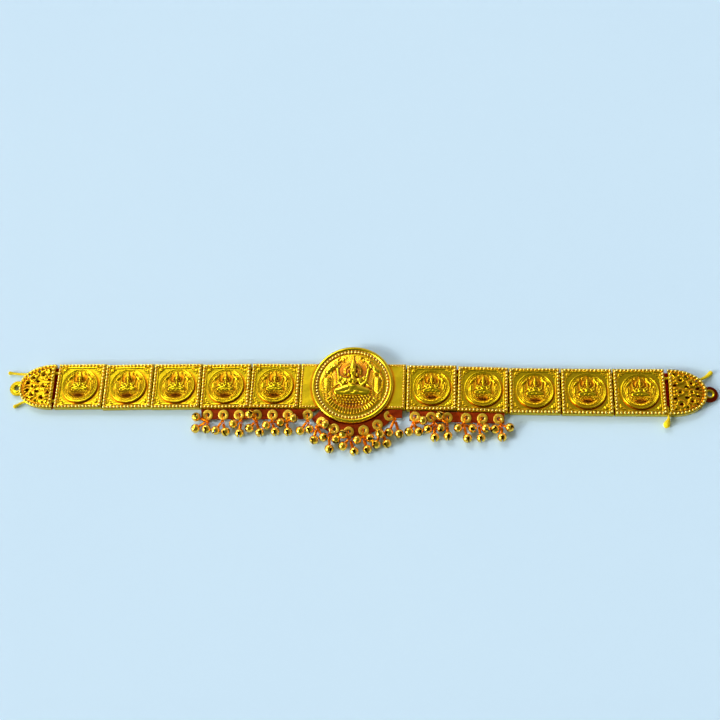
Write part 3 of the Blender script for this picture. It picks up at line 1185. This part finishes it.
# The left strip stops where the round strip begins: a block turned by this angle takes off its corner
CORNER_TURN, CORNER_L, CORNER_W = -144, 80, 60
for label, (numbers, groups) in FRINGES.items():
    parts = [piece(f"strip_{label}_{k}", *group, [lacquer], 35) for k, group in enumerate(groups)]
    cut(parts[0], [drum(*carried(([(0, 0, -2.5), (0, 0, 2.5)], []), hole_frame(HOLES[i]))[0], HOLE_R)
        for i in numbers])
    if label == "left":
        corner = [turned((CORNER_L * u, CORNER_W * v), CORNER_TURN)
            for u, v in ((0, 0), (1, 0), (1, 1), (0, 1))]
        cut(parts[0], [prism([(x, MED_SHIFT + y) for x, y in corner], -1, 19)])
    for i in numbers:
        ring = piece(f"washer_{i}", *carried(lathe(WASHER, 36), hole_frame(HOLES[i])), [lacquer], 50)
        parts.append(in_metal(ring, 1))
    fringe = absorb(parts[0], parts[1:])
    fringe.data.materials.append(washer_gilt)
    fringe.name = f"fringe_strip_{label}"
    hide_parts(f"fringe_{label}")
    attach(fringe, "root")


# ---------------------------------------------------------------- bell drops
# Nineteen jump rings, each with two or three hollow polished bells on long wire loops.
# A bell is two pressed cups soldered at the seam, with a slot that ends in two round holes.
BELL_R, SHELL, SLOT_W, SLOT_REACH, BELL_UNIT = 4.2, 0.5, 1.3, 76, 8.6
RING_R, RING_WIRE, LOOP_WIRE, LOOP_HALF, CHORD = 3.6, 0.45, 0.40, 1.08, 2.8
WOUND_WIRE, WOUND_PITCH, SEAM_R, LYING = 0.33, 0.68, 0.12, 0.51
# For each ring its swing in degrees, then its bells: to the side and out in BELL_UNITs, slot turn, seat on
# the ring, and for bells that lie on others their height in BELL_UNITs
HANG = (
    (4, ((-1.21, 0.28, 90, -44), (-1.17, 1.58, 40, 20), (0, 1.63, 10, -12))),
    (0, ((-0.67, 1.79, -40, 20), (0.38, 1.94, 30, -12))),
    (20, ((-0.51, 1.06, 90, 20), (0.2, 2.09, 0, -12))),
    (0, ((-0.66, 0.16, 90, -44, 0.97), (-0.68, 1.54, 20, 20), (0.46, 2.01, -30, -12))),
    (0, ((-0.59, 1.21, 80, 20), (0.41, 1.93, 0, -12), (0.92, 0.91, 60, -44))),
    (-8, ((0.09, 1.93, 5, -12), (0.65, 0.57, 90, -44, 0.88))),
    (0, ((-0.73, 1.82, 90, 20), (0.25, 1.67, 20, -12))),
    (2, ((0.71, 2.01, 20, -12), (1.29, 1.18, -10, 20), (0.69, 0.06, 90, -44, 0.91))),
    (-12, ((0.63, 1.01, 90, -12), (0.4, 2.25, -30, 20))),
    (14, ((-0.49, 0.5, 90, -44, 0.95), (-0.45, 1.64, 70, 20), (0.77, 2.15, 0, -12))),
    (-16, ((-0.89, 0.89, 45, 20), (0.45, 1.02, -20, -44), (-0.1, 2.18, 30, -12))),
    (0, ((-0.38, 1.21, 0, 20, 1.04), (-1.23, 1.8, 90, -38), (-0.24, 2.32, 60, -12))),
    (2, ((-1.43, 1.25, 0, 20), (-0.84, 2.15, -30, -12))),
    (-10, ((-0.57, 1.72, 70, -12), (0.44, 1.68, 0, 20), (0.88, 0.62, 90, -47, 1))),
    (24, ((-0.31, 1.37, 30, -41), (0.45, 2.28, 10, -12), (1.05, 1.2, 90, 17))),
    (0, ((-0.78, 0.05, 90, -44, 1), (0.12, 2.08, -20, -12))),
    (-20, ((-0.8, 1.14, 90, -10), (0.67, 1.17, -30, -44), (0.17, 2.26, 10, 23))),
    (-28, ((0.36, 1.11, 90, 29), (-0.11, 2.19, 0, -15))),
    (19, ((-0.37, 1.19, 80, -44), (0.36, 2.05, 0, -12), (1.13, 0.95, 30, 20))),)
polish, shine = new_material("gilt_mirror")
place = shine.place()
haze = shine.noise(420.0, 3.0, 0.5, place)
tint = shine.mix(shine.between(haze, 0.35, 0.7), (1.0, 0.67, 0.030, 1), (0.95, 0.46, 0.014, 1))
shine.surface({"Base Color": tint, "Metallic": 1.0, "Roughness": shine.between(haze, 0.3, 0.75, 0.05, 0.13),
    "Normal": shine.bump(1.0, 0.00018, shine.noise(300.0, 1.0, 0.5, place)), "Coat Weight": 0.8,
    "Coat Roughness": 0.05})
coppery = gilt("gilt_wire", (0.95, 0.27, 0.003, 1), AMBER, 0.28, 0.4, 0.00010)
bell_inside = gilt("gilt_bell_inside", (0.16, 0.035, 0.002, 1), (0.08, 0.02, 0.001, 1), 0.40, 0.5, 0.00010)


def globe(r, around, down):
    """A ball from its lower pole up, outward normals."""
    verts = [(0, 0, -r)]
    for t in math.pi * np.arange(1, down) / down:
        verts += [(r * math.sin(t) * c, r * math.sin(t) * s, -r * math.cos(t))
            for c, s in map(compass, 360 * np.arange(around) / around)]
    verts.append((0, 0, r))
    faces = [tuple(k + 1 for k in f) for f in bands(down - 1, around, False)]
    top = len(verts) - 1
    for k in range(around):
        m = (k + 1) % around
        faces += [(0, 1 + m, 1 + k), (top - around + k, top - around + m, top)]
    return verts, faces


outer, inner = globe(BELL_R, 28, 18), globe(BELL_R - SHELL, 20, 12)
shell = piece("bell_master", *gathered([outer, (inner[0], [f[::-1] for f in inner[1]])]), [polish], 60)
cut(shell, [prism(rectangle(SLOT_W, BELL_R * 2.2), BELL_R * 0.22, BELL_R * 1.25)])
for side in (-1, 1):
    c, s = compass(SLOT_REACH)
    cut(shell, [drum((0, 0, 0), (0, side * 8 * s, 8 * c), SLOT_W * 0.95, 14)])
shell_faces = [tuple(f.vertices) for f in shell.data.polygons]
BELL = gathered([(np.array([v.co for v in shell.data.vertices]) / MM, shell_faces),
    hoop(0, BELL_R, SEAM_R, 28, 6)])
inside = [int(np.linalg.norm(np.mean([BELL[0][k] for k in f], 0)) < BELL_R - 0.2) * 2 for f in BELL[1]]
bpy.data.objects.remove(shell)


def wire_loop(reach):
    """A wire loop from a bell's crown, its middle at the origin, to its jump ring, with a wound neck."""
    neck = min(-BELL_R - 0.6, 2.6 - reach)
    loop = [(0.42, 0, SHELL * 0.6 - BELL_R), (0.42, 0, neck), (0.6, 0, neck - 0.4)]
    loop += [(LOOP_HALF * c, 0, -reach - LOOP_HALF * s) for c, s in map(compass, np.linspace(0, 180, 13))]
    loop += [(-x, 0, z) for x, _, z in loop[2::-1]]
    turns = max(1, round((-BELL_R - neck) / WOUND_PITCH))
    wound = [(1.12 * compass(360 * turns * q)[0], 0.74 * compass(360 * turns * q)[1],
        neck + (-BELL_R - neck) * q) for q in np.linspace(0, 1, 12 * turns + 1)]
    return gathered([swept(np.array(path, float), [wire] * len(path), sides)[:2]
        for path, wire, sides in ((loop, LOOP_WIRE, 8), (wound, WOUND_WIRE, 6))])


ring_up = math.sqrt(RING_R ** 2 - CHORD ** 2)
up = np.array([0, 0, 1.0])
for i, (swing, bells) in enumerate(HANG):
    x, y, z, way, lean = HOLES[i]
    o, base = np.array([*compass(way + swing), 0]), np.array([*compass(way), 0])
    side = np.cross(up, base)
    c, s = compass(lean)
    ring_middle = np.array([x, y, 0]) + o * (CHORD * c + ring_up * s) + up * (z - CHORD * s + ring_up * c)
    groups = [carried(hoop(0, RING_R, RING_WIRE, 48), frame_at(ring_middle, o, up, np.cross(o, up)))]
    for to_side, to_out, slot, seat_at, *height in bells:
        height = height[0] if height else LYING
        c, s = compass(seat_at)
        seat = ring_middle + RING_R * (o * c + up * s)
        middle = np.array([x, y, 0]) + BELL_UNIT * (side * to_side + base * to_out + up * height)
        reach = np.linalg.norm(middle - seat)
        bz = (middle - seat) / reach
        by = -o * s + up * c
        by = by - (by @ bz) * bz
        by /= np.linalg.norm(by)
        frame = frame_at(middle, np.cross(by, bz), by, bz)
        c, s = compass(slot * 0.6)
        turned_slot = frame_at((0, 0, 0), (c, s, 0), (-s, c, 0), (0, 0, 1))
        groups += [carried(carried(BELL, turned_slot), frame), carried(wire_loop(reach), frame)]
    drop = piece(f"bell_drop_{i + 1}", *gathered(groups), [polish, coppery, bell_inside], 40)
    kinds = [k for n, group in enumerate(groups) for k in (inside if n % 2 else [1] * len(group[1]))]
    drop.data.polygons.foreach_set("material_index", kinds)
    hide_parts(f"drop_{i + 1}")
    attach(drop, "root")


size = {"cad": [[float(c) for c in corner] for corner in cad_box],
    "visual": [[float(c) for c in corner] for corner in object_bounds()]}
